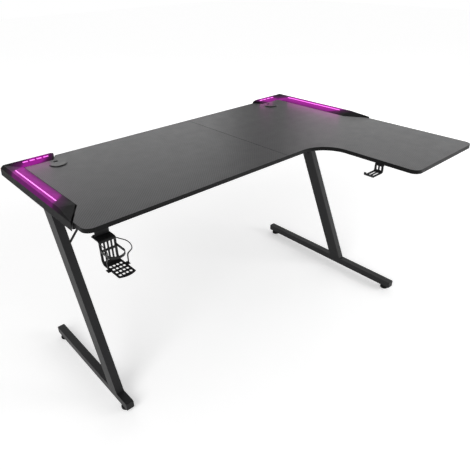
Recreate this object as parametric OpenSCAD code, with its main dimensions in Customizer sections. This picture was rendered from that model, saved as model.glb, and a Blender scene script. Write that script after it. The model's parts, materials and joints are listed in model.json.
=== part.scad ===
// Corner desk: an L-shaped top in two panels on two slanted steel legs, with light
// housings in both back corners, cable grommets, a cup holder and a headphone hook.
// Millimetres. +X along the long wing, +Y to the back, +Z up.
// The origin is on the floor, under the middle of the overall outline.

/* [Desktop] */
// Length of the desktop along its back edge
desk_l = 1500; // [1400:10:1600]
// Depth of the desktop along its right end, where the return wing runs forward
desk_r = 1080; // [1000:10:1160]
// Depth of the long wing
main_w = 650; // [600:10:700]
// Width of the return wing
return_w = 430; // [400:10:480]
// Height of the working surface
top_z = 750; // [720:5:780]
// Thickness of the board
board_t = 15; // [15:1:20]
// Radius of the inside corner between the wings
inner_r = 120; // [60:5:160]
// Radius of the outside corners
corner_r = 32; // [20:1:42]
// Distance of the panel joint from the middle of the desk, to the right
seam_x = 110; // [60:10:160]

/* [Corner light housings] */
// Width of the long arm, across its ramp
side_w = 60; // [52:1:66]
// Length of the long arm along its inner edge
side_len = 478; // [460:1:490]
// Width of the short arm, across its ramp
back_w = 44; // [38:1:50]
// Length of the short arm along its inner edge
back_len = 175; // [170:1:190]
// Height of the ridge above the working surface
ridge_h = 14; // [8:1:20]
// How far the outer wall stands outside the desktop edge
overhang = 10; // [6:1:14]
// How far the outer wall hangs below the working surface
skirt_h = 26; // [20:1:28]

/* [Frame] */
// Width and height of the foot rails and top rails
rail_w = 30; // [28:1:35]
// Depth of the slanted posts, square to their length
post_w = 57; // [50:1:60]
// Wall thickness of the steel tube
tube_t = 1.5; // [1.2:0.1:2]
// Clear height of the foot rails above the floor
foot_z = 15; // [12:1:20]
// Length of the left foot
left_foot_l = 570; // [540:10:600]
// Length of the right foot
right_foot_l = 803; // [760:1:840]
// Gap from the left end of the desktop to the left leg
left_inset = 10; // [5:1:20]
// Gap from the right end of the desktop to the right leg
right_inset = 139; // [120:1:160]
// Travel of the levelling feet
level_travel = 12; // [6:1:14]

/* [Cup holder and hook] */
// Inside diameter of the ring that holds a can or a bottle
cup_d = 55; // [55:1:64]
// Distance of the cup holder from the left end of the desktop
cup_inset = 68; // [60:1:120]
// Width of the headphone hook
hook_w = 38; // [34:1:44]
// Reach of the headphone hook from the edge of the return wing
hook_reach = 68; // [55:1:75]

/* [Hidden] */
$fn = 64;
eps = 0.01;

// Edges of the desktop and heights that everything hangs from
x_right = desk_l / 2;
x_left = -desk_l / 2;
y_back = (desk_r - overhang) / 2;
y_front = y_back - desk_r;
y_main = y_back - main_w;
x_return = x_right - return_w;
z_under = top_z - board_t;
band_t = 1;
seam_gap = 0.4;

// Housing: skin, gaps, and slopes of the slanted ends of its two arms
skin = 2.5;
side_gap = 0.8;
end_gap = 5;
side_slope = 1.6;
back_slope = 0.57;
ridge_in = 1;
chamfer_in = 1.8;
chamfer_z = 2;
side_crease = 9;
side_bevel_l = 72;
back_crease = 8;
back_crease_in = 6;
back_bevel_l = 28;
bevel_end_h = 4;
sweep_l = 700;
sweep_out = 40;
tab_l = 24;
tab_w = 18;
side_tabs = [100, 262, 440];
back_tabs = [95, 155];
tab_screw_in = 10;

// Lamps: where they start and end along each arm, and their widths
lens_w = 5;
lens_rise = 0.8;
side_lamp_in = 18;
back_lamp_in = 15;
side_lamp = [78, 422];
back_lamp = [68, 168];
dash_l = 19;
dash_pitch = 27;
led_pitch = 16;

// Frame
left_x = x_left + left_inset;
right_x = x_right - right_inset - rail_w;
foot_y_back = y_back - 115;
rail_z = z_under - rail_w;
post_bottom_y = -84;
left_post_top_y = 168;
right_post_top_y = 210;
post_z = foot_z + rail_w;
left_rail_y = [0, 395];
right_rail_y = [-480, 395];
cap_t = 3;
plug_l = 12;
beam_w = 50;
beam_h = 20;
beam_ys = [162, 345];
plate_l = 74;
plate_t = 3;
beam_bolt_dy = 31;
beam_bolt_drop = 4;
beam_x0 = left_x + rail_w + plate_t;
beam_x1 = right_x - plate_t;
bolt_d = 6;
bolt_gap = 0.3;
bolt_l = 14;
bolt_grip = 11;
insert_r = 5;
insert_l = 12;
thread_gap = 0.05;
right_rail_bolts = [-440, -200, 40, 295];
beam_bolt_xs = [-640, -280, 80, 300];
brace_low_z = top_z - 184;
brace_reach = 132;
brace_d = 8;
tab_d = 15;
tab_t = 3;

// Levelling feet
pad_in = 32;
pad_d = 38;
stud_d = 8;
stud_gap = 0.05;
pad_rest_gap = 0.3;
stud_z = 5;
nut_h = 9;
nut_r = 8;
stud_spare = 2;

// Grommets
grommet_x = 580;
grommet_y = y_back - 98;
hole_d = 60;
sleeve_r = 28;
ring_r = 34;

// Cup holder and hook
cup_x = x_left + cup_inset;
cup_y = y_main - 30;
tray_z = top_z - 136;
sheet_w = cup_d + 3;
tray_l = 106;
front_r = 56;
sheet_t = 2.5;
hole_dx = 12;
hole_dy = 19.2;
tray_hole = [8.4, 11.6];
slot_r = 3.2;
arm_t = 2;
arm_w = 2.6;
arm_low_w = 4.2;
arm_splay = 9;
arm_foot_x = sheet_w / 2 + 9;
ring_rise = 42.5;
ring_h = 9;
band_w = 2;
cup_bolt_dx = 15;
hook_y = y_front + 157;

// Wood screws
screw_r = 2;
screw_l = 12;
head_h = 2;
pilot_h = 11;
screw_gap = 0.3;

// ---------------------------------------------------------------- desktop

module box(a, b) { translate(a) cube(b - a); }

// Rectangle from corner a to corner b with rounded corners
module round_rect(a, b, r) {
    translate([a.x + r, a.y]) square([b.x - a.x - 2 * r, b.y - a.y]);
    translate([a.x, a.y + r]) square([b.x - a.x, b.y - a.y - 2 * r]);
    for (x = [a.x + r, b.x - r], y = [a.y + r, b.y - r])
        translate([x, y]) circle(r);
}

// Corner notch, or the plan of the housing in it. p runs along the back edge and q
// forward along the end, both from the corner. It grows by e, and its ends by g.
function notch(e, g) =
    let (kb = sqrt(1 + back_slope * back_slope), ks = sqrt(1 + side_slope * side_slope), out = 20)
    [[-out, -out],
     [back_len + (back_w + out) * back_slope + g * kb, -out],
     [back_len - e * back_slope + g * kb, back_w + e],
     [side_w + e, back_w + e],
     [side_w + e, side_len - e * side_slope + g * ks],
     [-out, side_len + (side_w + out) * side_slope + g * ks]];

// Puts a corner's p and q on the left back corner, or on the right one
module at_left_corner() { translate([x_left, y_back, 0]) mirror([0, 1, 0]) children(); }
module at_right_corner() { translate([x_right, y_back, 0]) rotate([0, 0, 180]) children(); }

// Outline of the whole desktop, drawn in by e on every edge
module desktop_outline(e) {
    c = [x_return - inner_r, y_main - inner_r];
    difference() {
        union() {
            round_rect([x_left + e, y_main + e], [x_right - e, y_back - e], corner_r - e);
            round_rect([x_return + e, y_front + e], [x_right - e, y_back - e], corner_r - e);
            difference() {
                translate(c) square(inner_r + e);
                translate(c) circle(inner_r + e, $fn = 160);
            }
        }
        translate([x_left, y_back]) mirror([0, 1]) polygon(notch(e, e));
        translate([x_right, y_back]) rotate(180) polygon(notch(e, e));
    }
}

module left_outline(e) {
    intersection() {
        desktop_outline(e);
        translate([x_left - 50, y_front - 50])
            square([seam_x - seam_gap / 2 - e - x_left + 50, desk_r + 100]);
    }
}

module right_outline(e) {
    intersection() {
        desktop_outline(e);
        translate([seam_x + seam_gap / 2 + e, y_front - 50])
            square([x_right + 50 - seam_x, desk_r + 100]);
    }
}

module at_grommet(side) { translate([side * grommet_x, grommet_y, top_z]) children(); }

// Blind holes under the board for the threaded inserts
module insert_holes() {
    for (p = insert_points()) translate([p.x, p.y, z_under - eps])
        cylinder(h = insert_l, r = insert_r);
}

dowel_ys = [-60, 60, 260, 440];
dowel_r = 4;
dowel_l = 40;
module dowel_holes() {
    for (y = dowel_ys)
        translate([seam_x - dowel_l / 2 - 1, y, z_under + board_t / 2])
            rotate([0, 90, 0]) cylinder(h = dowel_l + 2, r = dowel_r);
}

module panel_cuts(side) {
    at_grommet(side) translate([0, 0, -board_t - 1]) cylinder(h = board_t + 2, r = hole_d / 2);
    insert_holes();
    dowel_holes();
    at_joiner_screws() pilot_hole();
    at_left_corner() at_housing_screws() pilot_hole();
    at_right_corner() at_housing_screws() pilot_hole();
    at_controller_screws() pilot_hole();
    at_cup_screws() pilot_hole();
    at_hook_screws() pilot_hole();
}

module left_desktop_panel() {
    color([0.10, 0.10, 0.11]) difference() {
        translate([0, 0, z_under]) linear_extrude(board_t) left_outline(band_t);
        panel_cuts(-1);
    }
}

module right_desktop_panel() {
    color([0.10, 0.10, 0.11]) difference() {
        translate([0, 0, z_under]) linear_extrude(board_t) right_outline(band_t);
        panel_cuts(1);
    }
}

module left_edge_band() {
    color([0.05, 0.05, 0.05]) difference() {
        translate([0, 0, z_under]) linear_extrude(board_t) difference() {
            left_outline(0);
            left_outline(band_t);
        }
        dowel_holes();
    }
}

module right_edge_band() {
    color([0.05, 0.05, 0.05]) difference() {
        translate([0, 0, z_under]) linear_extrude(board_t) difference() {
            right_outline(0);
            right_outline(band_t);
        }
        dowel_holes();
    }
}

module panel_dowels() {
    color([0.76, 0.6, 0.4]) for (y = dowel_ys)
        translate([seam_x - dowel_l / 2, y, z_under + board_t / 2])
            rotate([0, 90, 0]) cylinder(h = dowel_l, r = dowel_r - 0.05);
}

// Flat plates under the joint, each held by four screws
joiner_ys = [0, 256, 455];
joiner_size = [100, 36, 2];
joiner_dx = 34;
joiner_dy = 10;
module at_joiner_screws() {
    for (y = joiner_ys, sx = [-1, 1], sy = [-1, 1])
        translate([seam_x + sx * joiner_dx, y + sy * joiner_dy, z_under]) children();
}

module joiner_plates() {
    color([0.12, 0.12, 0.13]) difference() {
        for (y = joiner_ys)
            translate([seam_x - joiner_size.x / 2, y - joiner_size.y / 2, z_under - joiner_size.z])
                cube(joiner_size);
        at_joiner_screws() translate([0, 0, -5]) cylinder(h = 10, r = screw_r + screw_gap);
    }
}

// Pan-head wood screw: drop is the thickness that its head holds, l the shank's length
module wood_screw(drop, l) {
    translate([0, 0, -drop - head_h]) difference() {
        cylinder(h = head_h, r1 = screw_r * 1.5, r2 = screw_r * 2);
        for (a = [0, 90]) rotate(a)
            translate([-screw_r, -screw_r / 5, -eps]) cube([screw_r * 2, screw_r / 2.5, 1]);
    }
    translate([0, 0, -drop]) cylinder(h = l - 3, r = screw_r);
    translate([0, 0, l - drop - 3]) cylinder(h = 3, r1 = screw_r, r2 = 0.4);
}

module pilot_hole() { translate([0, 0, -eps]) cylinder(h = pilot_h, r = screw_r + 0.05); }

module joiner_screws() {
    color([0.2, 0.2, 0.21]) at_joiner_screws() wood_screw(joiner_size.z, screw_l);
}

// ---------------------------------------------------- corner light housings

ridge_z = top_z + ridge_h;
skirt_z = top_z - skirt_h;
side_run = side_w - side_gap;
back_run = back_w - side_gap;
side_tilt = atan(ridge_h / (side_run - ridge_in));
back_tilt = atan(ridge_h / (back_run - ridge_in));

// Cross-section under an arm's ramp, run wide, moved inwards and down by t
module ramp_section(run, t) {
    polygon([[-sweep_out, skirt_z - t], [-sweep_out, ridge_z - t], [ridge_in, ridge_z - t],
             [run - t, top_z - t * (1 - ridge_h / run)], [run - t, skirt_z - t]]);
}

// Cross-section inside the outer wall and its chamfer, moved inwards by t
module wall_section(t) {
    polygon([[t - overhang, skirt_z - t - eps], [t - overhang + chamfer_in, top_z + chamfer_z - t / 3],
             [ridge_in + t * 0.8, ridge_z - t * 0.6], [ridge_in + t * 0.8, ridge_z + 20],
             [sweep_l, ridge_z + 20], [sweep_l, skirt_z - t - eps]]);
}

// Sweeps a section of p and z along q, or a section of q and z along p
module along_side() {
    translate([0, sweep_l, 0]) rotate([90, 0, 0]) linear_extrude(sweep_l + sweep_out) children();
}
module along_back() {
    translate([-sweep_out, 0, 0]) rotate([90, 0, 90]) linear_extrude(sweep_l + sweep_out) children();
}

// Everything above the plane through a, b and c, past the line from a to b
module above_bevel(a, b, c, away) {
    n = cross(b - a, c - a);
    flat = [b.x - a.x, b.y - a.y];
    a2 = [a.x, a.y];
    plan = [a2 - 0.5 * flat, a2 + 1.3 * flat, a2 + 1.3 * flat + away, a2 - 0.5 * flat + away];
    low = [for (p = plan) [p.x, p.y, a.z - (n.x * (p.x - a.x) + n.y * (p.y - a.y)) / n.z]];
    high = [for (p = plan) [p.x, p.y, ridge_z + 30]];
    polyhedron(concat(low, high), [[0, 1, 2], [0, 2, 3], [7, 6, 5], [7, 5, 4], [0, 4, 5], [0, 5, 1],
                                   [1, 5, 6], [1, 6, 2], [2, 6, 7], [2, 7, 3], [3, 7, 4], [3, 4, 0]]);
}

// Solid body of a housing, its skin drawn in by t
module housing_body(t) {
    difference() {
        intersection() {
            translate([0, 0, skirt_z - t - 1]) linear_extrude(ridge_h + skirt_h + t + 10)
                polygon(notch(-side_gap - t, -end_gap - t));
            union() {
                along_side() ramp_section(side_run, t);
                along_back() ramp_section(back_run, t);
            }
            along_side() wall_section(t);
            along_back() wall_section(t);
        }
        translate([0, 0, -t]) {
            above_bevel([ridge_in, side_len, ridge_z], [side_run, side_len - side_crease, top_z],
                        [ridge_in + 5, side_len + side_bevel_l, top_z + bevel_end_h], [0, 160]);
            above_bevel([back_len + back_crease, ridge_in, ridge_z],
                        [back_len - back_crease_in, back_run, top_z],
                        [back_len + back_bevel_l, ridge_in + 4, top_z + bevel_end_h], [90, 0]);
        }
    }
}

// Frames on the two ramps: x runs down the side ramp, y down the back ramp, z stands square
module on_side_ramp() {
    translate([side_lamp_in, 0, ridge_z - (side_lamp_in - ridge_in) * tan(side_tilt)])
        rotate([0, side_tilt, 0]) children();
}
module on_back_ramp() {
    translate([0, back_lamp_in, ridge_z - (back_lamp_in - ridge_in) * tan(back_tilt)])
        rotate([-back_tilt, 0, 0]) children();
}

// Windows of the lamps: one long one in the side ramp, a row of short ones in the back ramp
dashes = [for (i = [0 : 3]) back_lamp[0] + i * dash_pitch];
module side_window(gap, z0, z1) {
    on_side_ramp() translate([-lens_w / 2 - gap, side_lamp[0] - gap, z0])
        cube([lens_w + 2 * gap, side_lamp[1] - side_lamp[0] + 2 * gap, z1 - z0]);
}
module back_windows(gap, z0, z1) {
    on_back_ramp() for (p = dashes) translate([p - gap, -lens_w / 2 - gap, z0])
        cube([dash_l + 2 * gap, lens_w + 2 * gap, z1 - z0]);
}

// Loops under the ramp that carry the strip: a frame round the channel, length 2 along it
strip_depth = skin + 3.7;
channel = lens_w + 6;
module strip_loop() {
    difference() {
        translate([-channel / 2 - 2, -1, -strip_depth - 2])
            cube([channel + 4, 2, strip_depth + 2 - skin + 0.4]);
        translate([-channel / 2, -2, -strip_depth]) cube([channel, 4, strip_depth]);
    }
}

module at_housing_screws() {
    for (q = side_tabs) translate([side_w + tab_screw_in, q, z_under]) children();
    for (p = back_tabs) translate([p, back_w + tab_screw_in, z_under]) children();
}

module corner_housing() {
    difference() {
        union() {
            difference() {
                housing_body(0);
                housing_body(skin);
                translate([skin - overhang, skin - overhang, skirt_z - 5])
                    cube([300, 700, z_under - skirt_z + 5]);
            }
            for (q = [side_lamp[0] + 12, 200, 310, side_lamp[1] - 12])
                on_side_ramp() translate([0, q, 0]) strip_loop();
            for (p = [back_lamp[0] + 23, back_lamp[1] - 23])
                on_back_ramp() translate([p, 0, 0]) rotate(90) strip_loop();
            for (q = side_tabs) translate([side_run - skin, q - tab_l / 2, z_under - skin])
                cube([tab_w + skin + side_gap, tab_l, skin]);
            for (p = back_tabs) translate([p - tab_l / 2, back_run - skin, z_under - skin])
                cube([tab_l, tab_w + skin + side_gap, skin]);
        }
        side_window(0.15, -skin - 1, 10);
        back_windows(0.15, -skin - 1, 10);
        at_housing_screws() translate([0, 0, -5]) cylinder(h = 10, r = screw_r + screw_gap);
    }
}

module left_corner_housing() { color([0.07, 0.07, 0.08]) at_left_corner() corner_housing(); }
module right_corner_housing() {
    color([0.07, 0.07, 0.08]) at_right_corner() corner_housing();
}

module housing_screws() {
    color([0.2, 0.2, 0.21]) {
        at_left_corner() at_housing_screws() wood_screw(skin, screw_l);
        at_right_corner() at_housing_screws() wood_screw(skin, screw_l);
    }
}

// Lenses: a bar or a row of windows that stands in the ramp, on a flange under the skin
flange_t = 1;
module lens_flange(size, center) {
    translate([center.x - size.x / 2, center.y - size.y / 2, -skin - 0.1 - flange_t])
        cube([size.x, size.y, flange_t]);
}
module side_lens() {
    color([0.95, 0.45, 0.95]) {
        side_window(0, -skin - 0.1, lens_rise);
        on_side_ramp() lens_flange([channel - 1, side_lamp[1] - side_lamp[0] + 4],
                                   [0, (side_lamp[0] + side_lamp[1]) / 2]);
    }
}
module back_lens() {
    color([0.95, 0.45, 0.95]) {
        back_windows(0, -skin - 0.1, lens_rise);
        on_back_ramp() lens_flange([back_lamp[1] - back_lamp[0] + 4, channel - 1],
                                   [(back_lamp[0] + back_lamp[1]) / 2, 0]);
    }
}

// Strips: a flexible circuit with a row of chips, lying l long along y
chip = [5, 5, 1.5];
pcb_t = 0.6;
module led_strip(l) {
    top = -skin - 0.2 - flange_t - chip.z;
    translate([-4, 0, top - pcb_t]) cube([8, l, pcb_t]);
    for (i = [0 : floor((l - chip.y - 4) / led_pitch)])
        translate([-chip.x / 2, 2 + i * led_pitch, top - eps]) cube(chip);
}
module side_led_strip() {
    color([0.9, 0.9, 0.85]) on_side_ramp() translate([0, side_lamp[0], 0])
        led_strip(side_lamp[1] - side_lamp[0]);
}
module back_led_strip() {
    color([0.9, 0.9, 0.85]) on_back_ramp() translate([back_lamp[0], 0, 0]) rotate(-90)
        led_strip(back_lamp[1] - back_lamp[0]);
}

module left_side_light_lens() { at_left_corner() side_lens(); }
module left_back_light_lens() { at_left_corner() back_lens(); }
module right_side_light_lens() { at_right_corner() side_lens(); }
module right_back_light_lens() { at_right_corner() back_lens(); }
module left_side_led_strip() { at_left_corner() side_led_strip(); }
module left_back_led_strip() { at_left_corner() back_led_strip(); }
module right_side_led_strip() { at_right_corner() side_led_strip(); }
module right_back_led_strip() { at_right_corner() back_led_strip(); }

// ------------------------------------------------------- lighting controller

box_l = 72;
box_w = 44;
box_h = 17;
box_wall = 1.8;
lid_t = 2;
ear_l = 12;
controller = [x_left + 160, y_back - 285, z_under];
jack_r = 4;

module at_controller_screws() {
    for (s = [-1, 1]) translate(controller + [s * (box_l + ear_l) / 2, 0, 0]) children();
}

module led_controller_lid() {
    color([0.1, 0.1, 0.1]) difference() {
        translate(controller + [-box_l / 2 - ear_l, -box_w / 2, -lid_t])
            cube([box_l + 2 * ear_l, box_w, lid_t]);
        at_controller_screws() translate([0, 0, -5]) cylinder(h = 10, r = screw_r + screw_gap);
    }
}

module led_controller_case() {
    color([0.1, 0.1, 0.1]) translate(controller - [0, 0, lid_t]) difference() {
        translate([0, 0, -box_h]) linear_extrude(box_h)
            round_rect([-box_l / 2, -box_w / 2], [box_l / 2, box_w / 2], 4);
        translate([0, 0, box_wall - box_h]) linear_extrude(box_h)
            round_rect([box_wall - box_l / 2, box_wall - box_w / 2],
                       [box_l / 2 - box_wall, box_w / 2 - box_wall], 2.5);
        translate([0, box_w / 2 - 4, -box_h / 2]) rotate([-90, 0, 0])
            cylinder(h = 8, r = jack_r + 0.1);
    }
}

// Round low-voltage socket in the back wall of the case, open to the back
module power_inlet() {
    color([0.15, 0.15, 0.15]) translate(controller + [0, box_w / 2, -lid_t - box_h / 2])
        rotate([-90, 0, 0]) {
            difference() {
                union() {
                    translate([0, 0, -11]) cylinder(h = 11, r = jack_r);
                    translate([-5.5, -5.5, -11]) cube([11, 11, 11 - box_wall]);
                }
                translate([0, 0, -9]) cylinder(h = 10, r = 2.8);
            }
            translate([0, 0, -9 - eps]) cylinder(h = 8, r = 1);
        }
}

module controller_screws() {
    color([0.2, 0.2, 0.21]) at_controller_screws() wood_screw(lid_t, screw_l);
}

// ------------------------------------------------------------------ grommets

module grommet_ring(side) {
    color([0.06, 0.06, 0.06]) at_grommet(side) rotate_extrude($fn = 96)
        polygon([[sleeve_r, -board_t], [hole_d / 2 - 0.2, -board_t], [hole_d / 2 - 0.2, 0], [ring_r, 0],
                 [ring_r, 0.8], [ring_r - 1, 2.2], [ring_r - 2, 2.6], [ring_r - 2.6, 2.6],
                 [ring_r - 2.6, 1], [sleeve_r, 1]]);
}

// Lid with a skirt that turns in the ring, and a slot at its back edge for cables
slot = [18, 13];
turn_gap = 0.08;
module grommet_cap(side) {
    color([0.08, 0.08, 0.08]) at_grommet(side) difference() {
        rotate_extrude($fn = 96)
            polygon([[0, 1.2], [sleeve_r - 2.1, 1.2], [sleeve_r - 2.1, -8], [sleeve_r - turn_gap, -8],
                     [sleeve_r - turn_gap, 1.2], [ring_r - 2.9, 1.2], [ring_r - 2.9, 2.8],
                     [ring_r - 3.9, 3.6], [0, 3.6]]);
        translate([-slot.x / 2, sleeve_r - slot.y, -10]) cube([slot.x, slot.y + 10, 20]);
    }
}
module left_grommet_ring() { grommet_ring(-1); }
module right_grommet_ring() { grommet_ring(1); }
module left_grommet_cap() { grommet_cap(-1); }
module right_grommet_cap() { grommet_cap(1); }

// --------------------------------------------------------------------- frame

steel = [0.09, 0.09, 0.1];

// Square tube along Y or along X, with open ends
module tube_y(x, ys, z, w, h) {
    difference() {
        box([x, ys[0], z], [x + w, ys[1], z + h]);
        box([x + tube_t, ys[0] - 1, z + tube_t], [x + w - tube_t, ys[1] + 1, z + h - tube_t]);
    }
}
module tube_x(xs, y, z, w, h) {
    difference() {
        box([xs[0], y - w / 2, z], [xs[1], y + w / 2, z + h]);
        box([xs[0] - 1, y - w / 2 + tube_t, z + tube_t],
            [xs[1] + 1, y + w / 2 - tube_t, z + h - tube_t]);
    }
}

// Places along Y of the two levelling feet under a foot rail l long
function foot_ys(l) = [foot_y_back - l + pad_in, foot_y_back - pad_in];
left_foot_ys = foot_ys(left_foot_l);
right_foot_ys = foot_ys(right_foot_l);

module foot_rail(x, l) {
    color(steel) difference() {
        tube_y(x, [foot_y_back - l + cap_t, foot_y_back - cap_t], foot_z, rail_w, rail_w);
        for (y = foot_ys(l)) translate([x + rail_w / 2, y, foot_z - 1])
            cylinder(h = tube_t + 2, r = stud_d / 2 + 0.4);
    }
}
module left_foot_rail() { foot_rail(left_x, left_foot_l); }
module right_foot_rail() { foot_rail(right_x, right_foot_l); }

// Closed end piece of a square tube, with its plug towards +Y
module end_cap(x, y, z, dir) {
    in = rail_w - 2 * tube_t - 0.4;
    translate([x + rail_w / 2, y, z + rail_w / 2]) scale([1, dir, 1]) rotate([-90, 0, 0]) {
        linear_extrude(cap_t) round_rect([-rail_w / 2, -rail_w / 2], [rail_w / 2, rail_w / 2], 2);
        translate([0, 0, cap_t]) linear_extrude(plug_l) difference() {
            square(in, center = true);
            square(in - 4, center = true);
        }
    }
}
module foot_end_caps() {
    color([0.04, 0.04, 0.04]) for (foot = [[left_x, left_foot_l], [right_x, right_foot_l]]) {
        end_cap(foot[0], foot_y_back - foot[1], foot_z, 1);
        end_cap(foot[0], foot_y_back, foot_z, -1);
    }
}
module top_rail_end_caps() {
    color([0.04, 0.04, 0.04]) for (rail = [[left_x, left_rail_y], [right_x, right_rail_y]]) {
        end_cap(rail[0], rail[1][0] - cap_t, rail_z, 1);
        end_cap(rail[0], rail[1][1] + cap_t, rail_z, -1);
    }
}

// Slanted post from the foot rail up to the top rail, leaning back as it rises
function post_lean(top_y) = atan((top_y - post_bottom_y) / (rail_z - post_z));
function post_mid_y(top_y, z) =
    post_bottom_y + (z - post_z) * tan(post_lean(top_y)) + post_w / cos(post_lean(top_y)) / 2;
module post_outline(top_y, t) {
    dy = post_w / cos(post_lean(top_y));
    polygon([[post_bottom_y + t, post_z - t], [post_bottom_y + dy - t, post_z - t],
             [top_y + dy - t, rail_z + t], [top_y + t, rail_z + t]]);
}
module leg_post(x, top_y, inner_x) {
    color(steel) difference() {
        translate([x, 0, 0]) rotate([90, 0, 90]) linear_extrude(rail_w) post_outline(top_y, 0);
        translate([x + tube_t, 0, 0]) rotate([90, 0, 90])
            linear_extrude(rail_w - 2 * tube_t) post_outline(top_y, tube_t / cos(post_lean(top_y)));
        translate([inner_x - tube_t - 1, post_mid_y(top_y, brace_low_z), brace_low_z])
            rotate([0, 90, 0]) cylinder(h = 2 * tube_t + 2, r = bolt_d / 2 + thread_gap);
    }
}
module left_leg_post() { leg_post(left_x, left_post_top_y, left_x + rail_w); }
module right_leg_post() { leg_post(right_x, right_post_top_y, right_x); }

// Holes in the rails' inner faces for the bolts of the beam plates
module beam_bolt_axes() {
    for (y = beam_ys, s = [-1, 1]) translate([0, y + s * beam_bolt_dy, rail_z + rail_w / 2 - beam_bolt_drop])
        children();
}
module left_top_rail() {
    color(steel) difference() {
        tube_y(left_x, left_rail_y, rail_z, rail_w, rail_w);
        beam_bolt_axes() translate([left_x + rail_w - 5, 0, 0]) rotate([0, 90, 0])
            cylinder(h = 10, r = bolt_d / 2 + thread_gap);
    }
}
module right_top_rail() {
    color(steel) difference() {
        tube_y(right_x, right_rail_y, rail_z, rail_w, rail_w);
        beam_bolt_axes() translate([right_x - 5, 0, 0]) rotate([0, 90, 0])
            cylinder(h = 10, r = bolt_d / 2 + thread_gap);
        for (y = right_rail_bolts) translate([right_x + rail_w / 2, y, rail_z - 1])
            cylinder(h = rail_w + 2, r = bolt_d / 2 + bolt_gap);
    }
}

module crossbeam(y, brace_holes) {
    color(steel) difference() {
        tube_x([beam_x0, beam_x1], y, z_under - beam_h, beam_w, beam_h);
        for (x = beam_bolt_xs) translate([x, y, z_under - beam_h - 1])
            cylinder(h = beam_h + 2, r = bolt_d / 2 + bolt_gap);
        if (brace_holes) at_brace_tops() translate([0, 0, -1])
            cylinder(h = tube_t + 2, r = bolt_d / 2 + thread_gap);
    }
}
module front_crossbeam() { crossbeam(beam_ys[0], true); }
module rear_crossbeam() { crossbeam(beam_ys[1], false); }

module beam_end_plates() {
    color(steel) difference() {
        for (y = beam_ys, x = [beam_x0 - plate_t, beam_x1])
            translate([x, y - plate_l / 2, rail_z]) cube([plate_t, plate_l, rail_w]);
        beam_bolt_axes() for (x = [beam_x0 - plate_t, beam_x1]) translate([x - 1, 0, 0])
            rotate([0, 90, 0]) cylinder(h = plate_t + 2, r = bolt_d / 2 + bolt_gap);
    }
}

// Hexagon-socket bolt, its head's underside at 0 and its shank l long along +Z
module bolt(l) {
    translate([0, 0, -4]) difference() {
        cylinder(h = 4, r = bolt_d * 0.8);
        translate([0, 0, -eps]) cylinder(h = 2.5, r = 2, $fn = 6);
    }
    cylinder(h = l, r = bolt_d / 2);
}

module beam_bolts() {
    color([0.15, 0.15, 0.16]) beam_bolt_axes() {
        translate([beam_x0, 0, 0]) rotate([0, -90, 0]) bolt(bolt_l);
        translate([beam_x1, 0, 0]) rotate([0, 90, 0]) bolt(bolt_l);
    }
}

// Braces: a rod from the inner face of a post up to the underside of the front beam
left_brace_y = post_mid_y(left_post_top_y, brace_low_z);
right_brace_y = post_mid_y(right_post_top_y, brace_low_z);
brace_top_z = z_under - beam_h;
module at_left_brace() { translate([left_x + rail_w, left_brace_y, 0]) children(); }
module at_right_brace() {
    translate([right_x, right_brace_y, 0]) mirror([1, 0, 0]) children();
}
module at_brace_tops() {
    at_left_brace() translate([brace_reach, 0, brace_top_z]) children();
    at_right_brace() translate([brace_reach, 0, brace_top_z]) children();
}
module brace() {
    a = [tab_t / 2, 0, brace_low_z + 10];
    b = [brace_reach - 10, 0, brace_top_z - tab_t / 2];
    color(steel) difference() {
        union() {
            intersection() {
                translate(a) rotate([0, atan2(b.x - a.x, b.z - a.z), 0])
                    cylinder(h = norm(b - a), r = brace_d / 2);
                box([0, -tab_d, brace_low_z], [brace_reach, tab_d, brace_top_z]);
            }
            box([0, -tab_d / 2, brace_low_z - 12], [tab_t, tab_d / 2, brace_low_z + 13]);
            box([brace_reach - 15, -tab_d / 2, brace_top_z - tab_t],
                [brace_reach + 12, tab_d / 2, brace_top_z]);
        }
        translate([-1, 0, brace_low_z]) rotate([0, 90, 0])
            cylinder(h = tab_t + 2, r = bolt_d / 2 + bolt_gap);
        translate([brace_reach, 0, brace_top_z - tab_t - 1])
            cylinder(h = tab_t + 2, r = bolt_d / 2 + bolt_gap);
    }
}
module left_brace_rod() { at_left_brace() brace(); }
module right_brace_rod() { at_right_brace() brace(); }

module brace_bolt_pair() {
    translate([tab_t, 0, brace_low_z]) rotate([0, -90, 0]) bolt(bolt_l);
    translate([brace_reach, 0, brace_top_z - tab_t]) bolt(bolt_l);
}
module brace_bolts() {
    color([0.15, 0.15, 0.16]) {
        at_left_brace() brace_bolt_pair();
        at_right_brace() brace_bolt_pair();
    }
}

// Bolts up through the beams and the right top rail, into inserts in the board
function insert_points() = concat(
    [for (y = beam_ys, x = beam_bolt_xs) [x, y]],
    [for (y = right_rail_bolts) [right_x + rail_w / 2, y]]);

module desktop_bolts() {
    color([0.15, 0.15, 0.16]) {
        for (y = beam_ys, x = beam_bolt_xs) translate([x, y, z_under - beam_h]) bolt(beam_h + bolt_grip);
        for (y = right_rail_bolts) translate([right_x + rail_w / 2, y, rail_z]) bolt(rail_w + bolt_grip);
    }
}
module desktop_inserts() {
    color([0.75, 0.62, 0.3]) for (p = insert_points()) translate([p.x, p.y, z_under])
        difference() {
            cylinder(h = insert_l - 0.5, r = insert_r - 0.05);
            translate([0, 0, -1]) cylinder(h = insert_l + 2, r = bolt_d / 2 + thread_gap);
        }
}

// ----------------------------------------------------------- levelling feet

module at_foot(x, y) { translate([x + rail_w / 2, y, 0]) children(); }

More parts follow.
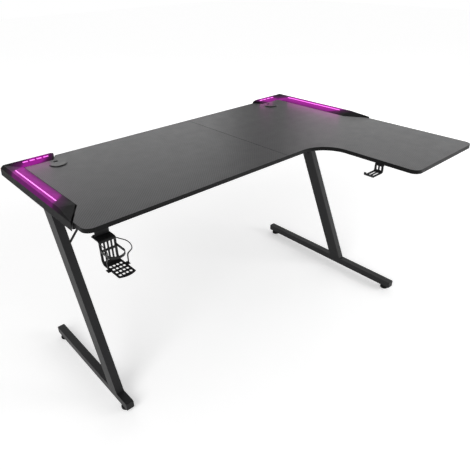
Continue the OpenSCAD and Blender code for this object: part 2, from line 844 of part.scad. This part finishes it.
module levelling_nuts() {
    color([0.6, 0.6, 0.62]) for (foot = [[left_x, left_foot_ys], [right_x, right_foot_ys]])
        for (y = foot[1]) at_foot(foot[0], y) translate([0, 0, foot_z + tube_t]) difference() {
            cylinder(h = nut_h, r = nut_r, $fn = 6);
            translate([0, 0, -1]) cylinder(h = nut_h + 2, r = stud_d / 2 + stud_gap);
        }
}
module pad(x, y) {
    color([0.05, 0.05, 0.05]) at_foot(x, y) difference() {
        rotate_extrude() polygon([[0, 0], [pad_d / 2 - 1.5, 0], [pad_d / 2, 1.5], [pad_d / 2, 7],
                                  [pad_d / 2 - 2, 9], [8, foot_z - pad_rest_gap],
                                  [0, foot_z - pad_rest_gap]]);
        translate([0, 0, stud_z]) cylinder(h = foot_z, r = stud_d / 2 + eps);
    }
}
// Long enough to stand out of the nut when the foot is screwed all the way down
module stud(x, y) {
    top = foot_z + tube_t + nut_h + level_travel + stud_spare;
    color([0.7, 0.7, 0.72]) at_foot(x, y) translate([0, 0, stud_z])
        cylinder(h = top - stud_z, r = stud_d / 2);
}
module left_front_pad() { pad(left_x, left_foot_ys[0]); }
module left_rear_pad() { pad(left_x, left_foot_ys[1]); }
module right_front_pad() { pad(right_x, right_foot_ys[0]); }
module right_rear_pad() { pad(right_x, right_foot_ys[1]); }
module left_front_stud() { stud(left_x, left_foot_ys[0]); }
module left_rear_stud() { stud(left_x, left_foot_ys[1]); }
module right_front_stud() { stud(right_x, right_foot_ys[0]); }
module right_rear_stud() { stud(right_x, right_foot_ys[1]); }

// ----------------------------------------------------- cup holder and hook

// Quarter of a ring, its inner radius r and t thick, in the quadrant that dx and dy name
module quarter(c, r, t, dx, dy) {
    translate(c) scale([dx, dy]) intersection() {
        difference() {
            circle(r + t);
            circle(r);
        }
        square(r + t + 1);
    }
}
// Rectangle between two opposite corners, in any order
module rect(a, b) {
    translate([min(a.x, b.x), min(a.y, b.y)]) square([abs(b.x - a.x), abs(b.y - a.y)]);
}
// Upright slot with round ends
module round_slot(a, b) {
    r = (b.x - a.x) / 2;
    rect([a.x, a.y + r], [b.x, b.y - r]);
    for (y = [a.y + r, b.y - r]) translate([a.x + r, y]) circle(r);
}

// Bracket under the board: a Z of sheet, its lower flange on the basket's
web_y = y_main + 39;
bracket_w = 48;
flange_z = top_z - 57.5;
flange_back = 19;
rivet_y = web_y + 9;
rivet_r = 2;
fold_r = 5;
bracket_l = 38;
cup_screw_in = 22;
module at_cup_screws() {
    for (s = [-1, 1]) translate([cup_x + s * cup_bolt_dx, web_y + cup_screw_in, z_under]) children();
}
module at_rivets() {
    for (s = [-1, 1]) translate([cup_x + s * cup_bolt_dx, rivet_y, flange_z]) children();
}
module cup_holder_bracket() {
    color([0.1, 0.1, 0.11]) difference() {
        translate([cup_x - bracket_w / 2, 0, 0]) rotate([90, 0, 90]) linear_extrude(bracket_w) {
            rect([web_y + fold_r, z_under - sheet_t], [web_y + bracket_l, z_under]);
            quarter([web_y + fold_r, z_under - fold_r], fold_r - sheet_t, sheet_t, -1, 1);
            rect([web_y, flange_z + fold_r], [web_y + sheet_t, z_under - fold_r]);
            quarter([web_y + fold_r, flange_z + fold_r], fold_r - sheet_t, sheet_t, -1, -1);
            rect([web_y + fold_r, flange_z], [web_y + flange_back, flange_z + sheet_t]);
        }
        at_cup_screws() translate([0, 0, -5]) cylinder(h = 10, r = screw_r + screw_gap);
        at_rivets() translate([0, 0, -5]) cylinder(h = 10, r = rivet_r + thread_gap);
    }
}

// Basket: one sheet bent into a flange, a slotted back and a perforated tray,
// with a curved guard arm on each side
back_y = y_main + 11;
bend_r = 6;
foot_r = 14;
module basket_sheet() {
    translate([cup_x - sheet_w / 2, 0, 0]) rotate([90, 0, 90]) linear_extrude(sheet_w) {
        rect([back_y + bend_r, flange_z - sheet_t], [web_y + flange_back, flange_z]);
        quarter([back_y + bend_r, flange_z - bend_r], bend_r - sheet_t, sheet_t, -1, 1);
        rect([back_y, tray_z + foot_r], [back_y + sheet_t, flange_z - bend_r]);
        quarter([back_y - foot_r, tray_z + foot_r], foot_r, sheet_t, 1, -1);
    }
}
module basket_tray() {
    translate([cup_x, 0, tray_z - sheet_t]) linear_extrude(sheet_t) {
        intersection() {
            round_rect([-sheet_w / 2, back_y - tray_l], [sheet_w / 2, back_y], 9);
            translate([0, back_y - tray_l + front_r]) circle(front_r, $fn = 160);
            rect([-sheet_w, back_y - foot_r], [sheet_w, back_y - 2 * tray_l]);
        }
        for (s = [-1, 1]) rect([s * (sheet_w / 2 - 3), cup_y - 12], [s * arm_foot_x, cup_y + 4]);
    }
}
module basket_holes() {
    for (i = [-1.5 : 1.5]) {
        for (j = [1 : 4]) translate([cup_x + i * hole_dx, back_y - 11 - j * hole_dy, tray_z - 5])
            linear_extrude(10) round_rect(-tray_hole / 2, tray_hole / 2, 2.5);
        translate([cup_x + i * hole_dx, back_y - 5, 0]) rotate([-90, 0, 0]) linear_extrude(10) {
            round_slot([-slot_r, -tray_z - 39], [slot_r, -tray_z - 6]);
            round_slot([-slot_r, -tray_z - 70], [slot_r, -tray_z - 46]);
        }
    }
}

// Smooth curve through the points of p: n points for each stretch between two of them
function curve_point(p, i, t) =
    let (a = p[max(i - 1, 0)], b = p[i], c = p[i + 1], d = p[min(i + 2, len(p) - 1)])
    b + 0.5 * t * ((c - a) + t * (2 * a - 5 * b + 4 * c - d + t * (3 * (b - c) + d - a)));
function curve(p, n) = concat(
    [for (i = [0 : len(p) - 2], k = [0 : n - 1]) curve_point(p, i, k / n)], [p[len(p) - 1]]);
function normal_at(p, i) =
    let (d = p[min(i + 1, len(p) - 1)] - p[max(i - 1, 0)]) [-d.y, d.x] / norm(d);

// Guard arm in its own upright plane, s forward from the basket's back. Its strip is
// turned from edge-on to broad where it comes down to the tray.
arm_path = curve([[-1.5, flange_z - 5], [24, flange_z - 1.5], [48, flange_z + 2.5],
                  [64, flange_z + 1], [73.5, flange_z - 6], [74, flange_z - 17],
                  [62, flange_z - 31], [50.5, flange_z - 45], [48, flange_z - 60],
                  [47.5, tray_z - 1.2]], 3);
function arm_half(i) =
    arm_w / 2 + (arm_low_w - arm_w) / 2 * max(0, min(1, 4 * (i / len(arm_path) - 0.5)));
module guard_arm(side) {
    last = len(arm_path) - 1;
    translate([cup_x + side * (sheet_w / 2 - 1.5), back_y, 0]) rotate([0, 0, side * arm_splay])
        rotate([90, 0, -90]) translate([0, 0, -arm_t / 2]) linear_extrude(arm_t)
            polygon(concat(
                [for (i = [0 : last]) arm_path[i] + arm_half(i) * normal_at(arm_path, i)],
                [for (i = [last : -1 : 0]) arm_path[i] - arm_half(i) * normal_at(arm_path, i)]));
}
module cup_holder_basket() {
    color([0.08, 0.08, 0.09]) {
        difference() {
            union() {
                basket_sheet();
                basket_tray();
            }
            basket_holes();
            at_rivets() translate([0, 0, -5]) cylinder(h = 10, r = rivet_r + thread_gap);
        }
        for (side = [-1, 1]) guard_arm(side);
    }
}

// Band round the front of a can, its two ends on the back of the basket
module band_outline(r) {
    translate([cup_x, cup_y]) circle(r, $fn = 96);
    rect([cup_x - r, cup_y], [cup_x + r, back_y]);
}
module cup_holder_ring() {
    color([0.08, 0.08, 0.09]) translate([0, 0, tray_z + ring_rise]) linear_extrude(ring_h)
        difference() {
            band_outline(cup_d / 2 + band_w);
            translate([cup_x, cup_y]) circle(cup_d / 2, $fn = 96);
            rect([cup_x - cup_d / 2, cup_y], [cup_x + cup_d / 2, back_y + 1]);
        }
}
// Two wood screws up into the board, and two rivets through both flanges
module cup_holder_screws() {
    color([0.2, 0.2, 0.21]) {
        at_cup_screws() wood_screw(sheet_t, screw_l);
        at_rivets() {
            translate([0, 0, sheet_t]) cylinder(h = 1.2, r1 = 3.6, r2 = 2.4);
            translate([0, 0, -sheet_t]) cylinder(h = 2 * sheet_t, r = rivet_r);
            translate([0, 0, -sheet_t - 1.5]) cylinder(h = 1.5, r1 = 2.4, r2 = 3.6);
        }
    }
}

// Hook: one sheet bent into a flange, a slotted web, an arm and a toothed tip
hook_t = 3;
hook_z = z_under - 33;
hook_r = 5;
hook_flange = 52;
tip_rise = 6;
hook_slot_dy = 6.8;
hook_slot_r = 3.6;
tip_notch_w = 5.2;
tip_x = x_return - hook_reach;
module at_hook_screws() {
    for (s = [-1, 1]) translate([x_return + 34, hook_y + s * 10, z_under]) children();
}
module hook_profile() {
    out = hook_r + hook_t;
    rect([x_return + out, z_under - hook_t], [x_return + hook_flange, z_under]);
    quarter([x_return + out, z_under - out], hook_r, hook_t, -1, 1);
    rect([x_return, hook_z + out], [x_return + hook_t, z_under - out]);
    quarter([x_return - hook_r, hook_z + out], hook_r, hook_t, 1, -1);
    rect([tip_x + out, hook_z], [x_return - hook_r, hook_z + hook_t]);
    quarter([tip_x + out, hook_z + out], hook_r, hook_t, -1, -1);
    rect([tip_x, hook_z + out], [tip_x + hook_t, hook_z + out + tip_rise]);
}
module headphone_hook() {
    color([0.1, 0.1, 0.11]) difference() {
        translate([0, hook_y + hook_w / 2, 0]) rotate([90, 0, 0]) linear_extrude(hook_w)
            hook_profile();
        for (s = [-1, 1]) translate([0, hook_y + s * hook_slot_dy, 0]) {
            translate([x_return - 1, 0, 0]) rotate([90, 0, 90]) linear_extrude(hook_t + 2)
                round_slot([-hook_slot_r, hook_z + hook_t + hook_r],
                           [hook_slot_r, z_under - hook_t - hook_r]);
            translate([x_return - 8, 0, hook_z - 1]) rotate([0, 0, 90]) linear_extrude(hook_t + 2)
                round_slot([-hook_slot_r, 0], [hook_slot_r, hook_reach - 20]);
            translate([tip_x - 1, -tip_notch_w / 2, hook_z + hook_t + 4])
                cube([hook_t + 2, tip_notch_w, 20]);
        }
        at_hook_screws() translate([0, 0, -5]) cylinder(h = 10, r = screw_r + screw_gap);
    }
}
module headphone_hook_screws() {
    color([0.2, 0.2, 0.21]) at_hook_screws() wood_screw(hook_t, screw_l);
}

left_desktop_panel();
right_desktop_panel();
left_edge_band();
right_edge_band();
panel_dowels();
joiner_plates();
joiner_screws();
left_corner_housing();
right_corner_housing();
housing_screws();
left_side_light_lens();
left_back_light_lens();
right_side_light_lens();
right_back_light_lens();
left_side_led_strip();
left_back_led_strip();
right_side_led_strip();
right_back_led_strip();
led_controller_case();
led_controller_lid();
power_inlet();
controller_screws();
left_grommet_ring();
right_grommet_ring();
left_grommet_cap();
right_grommet_cap();
left_foot_rail();
left_leg_post();
left_top_rail();
right_foot_rail();
right_leg_post();
right_top_rail();
front_crossbeam();
rear_crossbeam();
beam_end_plates();
beam_bolts();
left_brace_rod();
right_brace_rod();
brace_bolts();
foot_end_caps();
top_rail_end_caps();
desktop_bolts();
desktop_inserts();
levelling_nuts();
left_front_pad();
left_rear_pad();
right_front_pad();
right_rear_pad();
left_front_stud();
left_rear_stud();
right_front_stud();
right_rear_stud();
cup_holder_bracket();
cup_holder_basket();
cup_holder_ring();
cup_holder_screws();
headphone_hook();
headphone_hook_screws();
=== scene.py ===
# Corner desk: materials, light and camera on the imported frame. Metres, +Z up.
import json
import math

import bpy
from mathutils import Matrix, Vector


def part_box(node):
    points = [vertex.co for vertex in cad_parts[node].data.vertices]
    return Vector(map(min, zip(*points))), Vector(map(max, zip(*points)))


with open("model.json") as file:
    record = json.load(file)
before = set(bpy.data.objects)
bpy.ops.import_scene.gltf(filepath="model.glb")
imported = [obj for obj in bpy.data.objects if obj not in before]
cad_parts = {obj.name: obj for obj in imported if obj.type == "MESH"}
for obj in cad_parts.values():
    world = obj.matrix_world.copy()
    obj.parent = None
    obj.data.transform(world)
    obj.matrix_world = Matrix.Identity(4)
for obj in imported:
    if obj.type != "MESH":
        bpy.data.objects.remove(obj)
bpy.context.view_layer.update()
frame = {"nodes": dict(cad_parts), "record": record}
nodes = frame["nodes"]
top_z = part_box("left_desktop_panel")[1].z
x_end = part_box("left_edge_band")[0].x
y_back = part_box("left_edge_band")[1].y

# ------------------------------------------------------------------ materials


class Mat:
    """A node material for one slot. Most of its methods add nodes and return an output."""

    def __init__(self, slot):
        self.slot = slot
        self.mat = bpy.data.materials.new(slot)
        self.mat.use_nodes = True
        self.tree = self.mat.node_tree
        self.shader = self.tree.nodes["Principled BSDF"]
        self.coords = self.tree.nodes.new("ShaderNodeTexCoord").outputs["Object"]

    def put(self, socket, value):
        """Link another node's output to a socket, or set a number or a colour there."""
        if isinstance(value, bpy.types.NodeSocket):
            self.tree.links.new(value, socket)
        elif isinstance(value, tuple):
            socket.default_value = (*value, 1)
        else:
            socket.default_value = value

    def math(self, op, *values):
        node = self.tree.nodes.new("ShaderNodeMath")
        node.operation = op
        for socket, value in zip(node.inputs, values):
            self.put(socket, value)
        return node.outputs[0]

    def weighted(self, *pairs):
        """Sum of values, each times its weight."""
        total, *terms = [self.math("MULTIPLY", value, weight) for value, weight in pairs]
        for term in terms:
            total = self.math("ADD", total, term)
        return total

    def split(self, vector):
        node = self.tree.nodes.new("ShaderNodeSeparateXYZ")
        self.put(node.inputs[0], vector)
        return node.outputs

    def tilt(self):
        """Z of the surface's normal: 1 where it faces straight up."""
        geometry = self.tree.nodes.new("ShaderNodeNewGeometry")
        return self.split(geometry.outputs["Normal"])[2]

    def noise(self, size, detail=3.0):
        node = self.tree.nodes.new("ShaderNodeTexNoise")
        self.put(node.inputs["Vector"], self.coords)
        node.inputs["Scale"].default_value = 1 / size
        node.inputs["Detail"].default_value = detail
        return node.outputs["Fac"]

    def remap(self, value, low, high, to_low, to_high, smooth=False):
        node = self.tree.nodes.new("ShaderNodeMapRange")
        if smooth:
            node.interpolation_type = "SMOOTHSTEP"
        for socket, setting in zip(node.inputs, (value, low, high, to_low, to_high)):
            self.put(socket, setting)
        return node.outputs[0]

    def spread(self, noise, to_low, to_high):
        """Stretch a noise, which lies mostly between 0.3 and 0.7, over another range."""
        return self.remap(noise, 0.3, 0.7, to_low, to_high)

    def mix(self, factor, a, b):
        node = self.tree.nodes.new("ShaderNodeMix")
        node.data_type = "RGBA"
        # Inputs 6 and 7 and output 2 are the colour sockets of this node
        for index, value in ((0, factor), (6, a), (7, b)):
            self.put(node.inputs[index], value)
        return node.outputs[2]

    def bump(self, height, distance, strength, normal=None):
        node = self.tree.nodes.new("ShaderNodeBump")
        self.put(node.inputs["Height"], height)
        node.inputs["Distance"].default_value = distance
        node.inputs["Strength"].default_value = strength
        if normal is not None:
            self.put(node.inputs["Normal"], normal)
        return node.outputs[0]

    def surface(self, **sockets):
        for name, value in sockets.items():
            self.put(self.shader.inputs[name.replace("_", " ")], value)
        return self


def carbon_laminate():
    """Printed 2x2 twill weave under a satin film on the top face, plain black foil elsewhere."""
    m = Mat("carbon_laminate")
    tow, strand = 0.0026, 0.00035
    x, y, _ = m.split(m.coords)
    cells = [m.math("DIVIDE", axis, tow) for axis in (x, y)]
    diagonal = m.math("SUBTRACT", *[m.math("FLOOR", cell) for cell in cells])
    # The twill repeats every four tows, and its warp is on top for two of them
    warp = m.math("LESS_THAN", m.math("FLOORED_MODULO", diagonal, 4.0), 1.5)
    weft = m.math("SUBTRACT", 1.0, warp)
    crown_x, crown_y = [m.math("SINE", m.math("MULTIPLY", m.math("FRACT", cell), math.pi))
                        for cell in cells]
    arch = m.math("ADD", m.math("MULTIPLY", warp, crown_x), m.math("MULTIPLY", weft, crown_y))
    strands = m.noise(strand, 2.0)
    shade = m.weighted((warp, 0.52), (arch, 0.30), (strands, 0.18))
    weave = m.mix(shade, (0.0010, 0.0010, 0.0012), (0.078, 0.078, 0.081))
    foil = m.mix(m.noise(0.004, 4.0), (0.006, 0.006, 0.0065), (0.011, 0.011, 0.012))
    faces_up = m.math("GREATER_THAN", m.tilt(), 0.5)
    wear = m.spread(m.noise(0.05, 5.0), -0.02, 0.03)
    rough = m.math("ADD", m.math("ADD", 0.35, wear), m.math("MULTIPLY", warp, 0.10))
    relief = m.weighted((arch, 0.7), (strands, 0.3))
    normal = m.bump(relief, distance=0.00005, strength=0.5)
    return m.surface(Base_Color=m.mix(faces_up, foil, weave), Roughness=rough, Normal=normal,
                     Specular_IOR_Level=0.32)


def grained(slot, dark, light, rough, grain=0.0007, shine=0.4):
    """A surface with a fine grain, such as moulded plastic, rubber or plain wood."""
    m = Mat(slot)
    fine, wide = m.noise(grain), m.noise(0.05)
    return m.surface(Base_Color=m.mix(m.weighted((fine, 0.5), (wide, 0.5)), dark, light),
                     Roughness=m.spread(wide, rough - 0.05, rough + 0.05),
                     Normal=m.bump(fine, distance=0.00005, strength=0.5),
                     Specular_IOR_Level=shine)


def powder_coat(slot, dark, light, rough):
    """Powder-coated steel: orange peel under a very fine grit."""
    m = Mat(slot)
    peel, grit, wide = m.noise(0.0035, 2.0), m.noise(0.0006, 2.0), m.noise(0.12, 4.0)
    orange_peel = m.bump(peel, distance=0.00012, strength=0.35)
    return m.surface(Base_Color=m.mix(m.weighted((grit, 0.4), (wide, 0.6)), dark, light),
                     Roughness=m.spread(wide, rough - 0.04, rough + 0.06),
                     Normal=m.bump(grit, distance=0.00004, strength=0.5, normal=orange_peel),
                     Specular_IOR_Level=0.22)


def metal(slot, dark, light, rough):
    """Plated or turned metal, slightly uneven in tone and polish."""
    m = Mat(slot)
    uneven = m.noise(0.002, 4.0)
    return m.surface(Base_Color=m.mix(uneven, dark, light), Metallic=1.0,
                     Roughness=m.spread(uneven, rough - 0.06, rough + 0.08),
                     Normal=m.bump(uneven, distance=0.00005, strength=0.4))


# Places of the lamps: p is measured inwards from the desktop's end, q forwards from its back edge
side_lamp, back_lamp = (0.078, 0.422), (0.068, 0.168)
side_lamp_p, back_lamp_q = 0.018, 0.015

# Painted light of the lamps on the ramps, drawn as emission in the housing plastic: full up to
# glow_near from a lamp, none from glow_far on, with a weaker haze that ends at haze_far
glow_near, glow_far, haze_far = 0.012, 0.064, 0.092
glow_share, haze_share = 0.78, 0.25
side_glow = {"ends": (0.092, 0.405), "middle": side_lamp_p, "slant": 1.1, "falloff": 2.2}
back_glow = {"ends": (0.100, 0.140), "middle": back_lamp_q, "slant": 1.0, "falloff": 1.6}


def painted_lamp_light(m, along, across, ends, middle, slant, falloff):
    """Painted light of one lamp on its ramp, drawn as emission: a glow that is short past the lamp's
    ends, and a haze.

    A slant moves the ends of the light towards the corner on the inner side of the lamp.
    """
    aside = m.math("SUBTRACT", across, middle)
    along = m.math("ADD", along, m.math("MULTIPLY", aside, slant))
    past = m.math("MAXIMUM", m.math("SUBTRACT", ends[0], along), m.math("SUBTRACT", along, ends[1]))
    past = m.math("MAXIMUM", past, 0.0)

    def reach(stretch, far):
        beyond = m.math("MULTIPLY", past, stretch)
        square = m.math("ADD", m.math("MULTIPLY", aside, aside), m.math("MULTIPLY", beyond, beyond))
        return m.remap(m.math("SQRT", square), glow_near, far, 1.0, 0.0, smooth=True)

    return m.weighted((reach(falloff, glow_far), glow_share), (reach(1.0, haze_far), haze_share))


def housing_plastic():
    """Black plastic with the lamps' light on its ramps painted in as an emission glow, weaker on its
    steeper edges.
    """
    m = grained("housing_plastic", (0.005, 0.005, 0.0055), (0.011, 0.011, 0.0115), 0.58)
    x, y, z = m.split(m.coords)
    p = m.math("SUBTRACT", -x_end, m.math("ABSOLUTE", x))
    q = m.math("SUBTRACT", y_back, y)
    # lit is the lamps' light painted onto the ramps as emission. It is painted dimmer on steeper
    # faces, left off upright faces and below the desktop, and varied a little at random.
    lit = m.math("ADD", painted_lamp_light(m, q, p, **side_glow), painted_lamp_light(m, p, q, **back_glow))
    lit = m.math("MINIMUM", lit, 1.0)
    tilt = m.tilt()
    facing = m.remap(tilt, 0.55, 0.9, 0.45, 1.0)
    not_upright = m.math("GREATER_THAN", tilt, 0.4)
    margin = 0.0005
    above_desktop = m.math("GREATER_THAN", z, top_z - margin)
    uneven = m.spread(m.noise(0.03), 0.92, 1.06)
    for factor in (facing, not_upright, above_desktop, uneven):
        lit = m.math("MULTIPLY", lit, factor)
    return m.surface(Emission_Color=m.mix(lit, (0.20, 0.002, 0.19), (0.30, 0.003, 0.26)),
                     Emission_Strength=lit, Specular_IOR_Level=0.08)


def light_lens():
    """Milky diffuser. Its light swells slightly along y, at the spacing of the strips' chips."""
    m = Mat("light_lens")
    chip_pitch = 0.016
    y = m.split(m.coords)[1]
    swell = m.math("COSINE", m.math("MULTIPLY", y, 2 * math.pi / chip_pitch))
    level = m.math("ADD", m.remap(swell, -1.0, 1.0, 0.94, 1.05), m.spread(m.noise(0.01), -0.03, 0.03))
    glow = m.mix(m.remap(level, 0.88, 1.1, 0.0, 1.0), (0.90, 0.14, 0.80), (1.0, 0.24, 0.92))
    return m.surface(Base_Color=m.mix(m.noise(0.004), (0.50, 0.12, 0.46), (0.60, 0.18, 0.55)),
                     Roughness=0.35, Emission_Color=glow,
                     Emission_Strength=m.math("MULTIPLY", level, 0.92))


finishes = (
    carbon_laminate(),
    housing_plastic(),
    light_lens(),
    powder_coat("black_steel", (0.008, 0.008, 0.0085), (0.015, 0.015, 0.016), 0.46),
    powder_coat("black_sheet", (0.006, 0.006, 0.0065), (0.012, 0.012, 0.0125), 0.38),
    metal("black_fasteners", (0.05, 0.05, 0.052), (0.10, 0.10, 0.105), 0.34),
    metal("brass", (0.60, 0.43, 0.18), (0.78, 0.60, 0.30), 0.32),
    metal("zinc", (0.52, 0.53, 0.55), (0.68, 0.69, 0.71), 0.33),
    grained("edge_band", (0.002, 0.002, 0.0022), (0.005, 0.005, 0.0052), 0.5, shine=0.12),
    grained("controller_plastic", (0.014, 0.014, 0.015), (0.026, 0.026, 0.027), 0.5),
    grained("inlet_plastic", (0.008, 0.008, 0.009), (0.014, 0.014, 0.015), 0.2),
    grained("grommet_plastic", (0.005, 0.005, 0.0055), (0.010, 0.010, 0.0105), 0.36),
    grained("cap_plastic", (0.003, 0.003, 0.0035), (0.007, 0.007, 0.007), 0.5, shine=0.2),
    grained("pad_rubber", (0.004, 0.004, 0.004), (0.009, 0.009, 0.009), 0.7, 0.0012, shine=0.2),
    grained("led_strip", (0.55, 0.54, 0.50), (0.72, 0.71, 0.68), 0.4),
    grained("beech", (0.42, 0.27, 0.15), (0.60, 0.43, 0.27), 0.6, 0.002),
)
material_of = {finish.slot: finish.mat for finish in finishes}
for part in frame["record"]["subparts"]:
    mesh = nodes[part["node"]].data
    mesh.materials.clear()
    mesh.materials.append(material_of[part["material_slot"]])

# ----------------------------------------------------------------- edge radii

# The first of these that a node's name contains gives its radius
edge_radius_mm = {
    "foot_rail": 2.0,
    "leg_post": 2.0,
    "top_rail": 2.0,
    "crossbeam": 1.5,
    "end_caps": 0.6,
    "corner_housing": 0.9,
    "edge_band": 0.3,
    "controller_case": 0.8,
    "hook": 0.5,
    "bracket": 0.5,
}


def round_edges(node, radius_mm):
    bevel = node.modifiers.new("edge", "BEVEL")
    bevel.width = radius_mm / 1000
    bevel.segments = 2
    bevel.limit_method = "ANGLE"
    bevel.angle_limit = math.radians(40)


for name, node in nodes.items():
    for key, radius_mm in edge_radius_mm.items():
        if key in name:
            round_edges(node, radius_mm)
            break

# --------------------------------------------------------------- camera, light


def camera():
    """The photograph's view. Yaw turns it from +Y towards +X, and a negative pitch looks down."""
    place = (-1.2135, -1.2831, 1.4200)
    yaw, pitch, roll = (math.radians(angle) for angle in (41.62, -30.31, -0.97))
    ahead = Vector((math.sin(yaw) * math.cos(pitch), math.cos(yaw) * math.cos(pitch), math.sin(pitch)))
    level = Vector((math.cos(yaw), -math.sin(yaw), 0))
    upright = level.cross(ahead)
    right = level * math.cos(roll) + upright * math.sin(roll)
    up = upright * math.cos(roll) - level * math.sin(roll)
    data = bpy.data.cameras.new("camera")
    data.sensor_width, data.lens = 36, 36.4067
    data.clip_start, data.clip_end = 0.05, 60
    cam = bpy.data.objects.new("camera", data)
    bpy.context.scene.collection.objects.link(cam)
    cam.matrix_world = Matrix.Translation(place) @ Matrix((right, up, -ahead)).transposed().to_4x4()
    bpy.context.scene.camera = cam


def area(name, where, at, size, power, colour=(1, 1, 1)):
    """A rectangular light that the camera itself does not see."""
    data = bpy.data.lights.new(name, "AREA")
    data.shape = "RECTANGLE"
    data.size, data.size_y = size
    data.energy = power
    data.color = colour
    light = bpy.data.objects.new(name, data)
    bpy.context.scene.collection.objects.link(light)
    light.location = where
    light.rotation_euler = (Vector(at) - Vector(where)).to_track_quat("-Z", "Y").to_euler()
    light.visible_camera = False


def lamp_spill(side):
    """Magenta light of one housing's two lamps over the desktop; side is -1 or 1 along x."""
    colour, height, width, ahead = (1.0, 0.05, 0.75), 0.02, 0.02, 0.1
    side_power, back_power = 0.055, 0.011
    x, y = side * (-x_end - side_lamp_p), y_back - sum(side_lamp) / 2
    area("side_spill", (x, y, top_z + height), (x - side * ahead, y, top_z),
         (side_lamp[1] - side_lamp[0], width), side_power, colour)
    x, y = side * (-x_end - sum(back_lamp) / 2), y_back - back_lamp_q
    area("back_spill", (x, y, top_z + height), (x, y - ahead, top_z),
         (back_lamp[1] - back_lamp[0], width), back_power, colour)


def surroundings():
    """White all round for the camera, and a softer light than that on the desk."""
    for_desk, for_camera = 0.36, 1.0
    world = bpy.data.worlds.new("studio")
    world.use_nodes = True
    tree = world.node_tree
    background = tree.nodes["Background"]
    background.inputs["Color"].default_value = (1, 1, 1, 1)
    path = tree.nodes.new("ShaderNodeLightPath")
    level = tree.nodes.new("ShaderNodeMapRange")
    level.inputs["To Min"].default_value = for_desk
    level.inputs["To Max"].default_value = for_camera
    tree.links.new(path.outputs["Is Camera Ray"], level.inputs["Value"])
    tree.links.new(level.outputs[0], background.inputs["Strength"])
    bpy.context.scene.world = world
    bpy.context.scene.view_settings.view_transform = "Standard"


def floor():
    """Pale ground just under the feet. It gets lighter away from the desk, to meet the white."""
    half, drop = 14, 0.0004
    near, far, near_level, far_level = 1.2, 4.5, 0.36, 0.66
    mesh = bpy.data.meshes.new("floor")
    corners = [(-half, -half, 0), (half, -half, 0), (half, half, 0), (-half, half, 0)]
    mesh.from_pydata(corners, [], [(0, 1, 2, 3)])
    ground = bpy.data.objects.new("floor", mesh)
    bpy.context.scene.collection.objects.link(ground)
    ground.location.z = -drop
    m = Mat("floor")
    distance = m.tree.nodes.new("ShaderNodeVectorMath")
    distance.operation = "LENGTH"
    m.put(distance.inputs[0], m.coords)
    level = m.remap(distance.outputs["Value"], near, far, near_level, far_level, smooth=True)
    m.surface(Base_Color=m.mix(m.noise(0.4), (0.88, 0.88, 0.88), (0.91, 0.91, 0.91)),
              Roughness=0.7, Emission_Color=(1, 1, 1), Emission_Strength=level)
    mesh.materials.append(m.mat)


camera()
area("key", where=(-3.0, -1.2, 2.2), at=(0, 0, 0.4), size=(2.0, 2.0), power=52)
area("fill", where=(1.9, -2.1, 0.9), at=(0.5, 0, 0.35), size=(1.4, 1.2), power=36)
area("side", where=(4.4, 1.4, 2.2), at=(0.4, -0.1, 0.7), size=(3.4, 2.6), power=34)
area("back", where=(1.2, 4.4, 2.3), at=(0, 0, 0.7), size=(4.4, 1.8), power=38)
for side in (-1, 1):
    lamp_spill(side)
surroundings()
floor()
